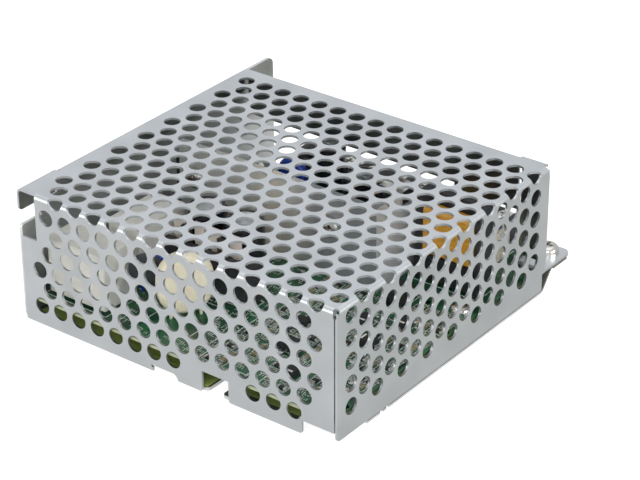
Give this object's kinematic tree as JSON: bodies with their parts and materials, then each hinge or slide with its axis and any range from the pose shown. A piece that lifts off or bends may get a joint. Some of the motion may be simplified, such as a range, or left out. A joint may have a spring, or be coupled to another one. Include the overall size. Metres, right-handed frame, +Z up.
{
  "type": "enclosed power supply module",
  "caption": "Low box-shaped power supply module: folded perforated sheet-metal cover on an L-shaped chassis, populated circuit board inside and a screw terminal block at the open end.",
  "frame": {"origin": "middle of the footprint on the mounting plane under the chassis", "axes": "+X to the right along the perforated front wall, +Y towards the terminal end, +Z up out of the mounting plane"},
  "size_m": [0.097, 0.099, 0.036],
  "materials": {
    "galvanised_sheet": "satin zinc-plated sheet steel",
    "insulation_film": "thin glossy olive insulating film",
    "board_laminate": "dark green solder mask on laminate",
    "plated_steel": "bright nickel-plated steel",
    "terminal_plastic": "black moulded plastic",
    "tinned_brass": "tin-plated brass",
    "ferrite": "sintered dark grey ferrite",
    "yellow_tape": "yellow polyester winding tape",
    "black_moulding": "black moulding compound",
    "tinned_wire": "tinned wire",
    "capacitor_sleeve": "black shrink sleeve over an aluminium can",
    "grey_box": "light grey moulded box",
    "cream_box": "cream dip coating",
    "blue_epoxy": "blue epoxy dip coating",
    "enamelled_copper": "enamelled copper wire",
    "bare_aluminium": "bare rolled aluminium",
    "fuse_glass": "clear glass tube",
    "dark_epoxy": "dark grey dip coating",
    "beige_strip": "beige sheet strip",
    "powder_core": "yellow coated powder core",
    "chip_ceramic_dark": "dark chip resistor body",
    "chip_ceramic_tan": "tan ceramic chip",
    "blue_moulding": "blue moulded plastic",
    "ivory_moulding": "ivory moulded plastic",
    "led_lens": "green tinted clear lens"
  },
  "bodies": {
    "module": {"perforated_cover": "galvanised_sheet", "chassis": "galvanised_sheet", "insulation_sheet": "insulation_film", "circuit_board": "board_laminate", "board_standoffs": "plated_steel", "board_screws": "plated_steel", "cover_screw": "plated_steel", "terminal_block": "terminal_plastic", "terminal_plates": "tinned_brass", "terminal_screws": "plated_steel", "transformer_core": "ferrite", "transformer_winding": "yellow_tape", "transformer_bobbin": "black_moulding", "transformer_pins": "tinned_wire", "bulk_capacitors": "capacitor_sleeve", "output_capacitors": "capacitor_sleeve", "line_filter_capacitors": "grey_box", "cream_film_capacitor": "cream_box", "blue_disc_capacitors": "blue_epoxy", "choke_core": "ferrite", "choke_windings": "enamelled_copper", "choke_base": "black_moulding", "heat_sink": "bare_aluminium", "heat_sink_screw": "plated_steel", "power_transistor": "black_moulding", "output_rectifier": "black_moulding", "rectifier_clip": "plated_steel", "bridge_rectifier": "black_moulding", "fuse_tube": "fuse_glass", "fuse_caps": "tinned_brass", "inrush_thermistor": "dark_epoxy", "output_inductor_core": "powder_core", "output_inductor_winding": "enamelled_copper", "control_chip": "black_moulding", "chip_pins": "tinned_wire", "chip_resistors": "chip_ceramic_dark", "chip_capacitors": "chip_ceramic_tan", "optocoupler": "black_moulding", "trimmer_body": "ivory_moulding", "indicator_led": "led_lens", "finger_strip": "beige_strip", "chip_diodes": "black_moulding"},
    "trimmer": {"trimmer_rotor": "blue_moulding"}
  },
  "joints": [
    {"name": "trimmer_turn", "type": "hinge", "parent": "module", "child": "trimmer", "pos_m": [0.0346, 0.0336, 0.0159], "axis": [0, 0, 1], "range_deg": [-130, 130]}
  ]
}
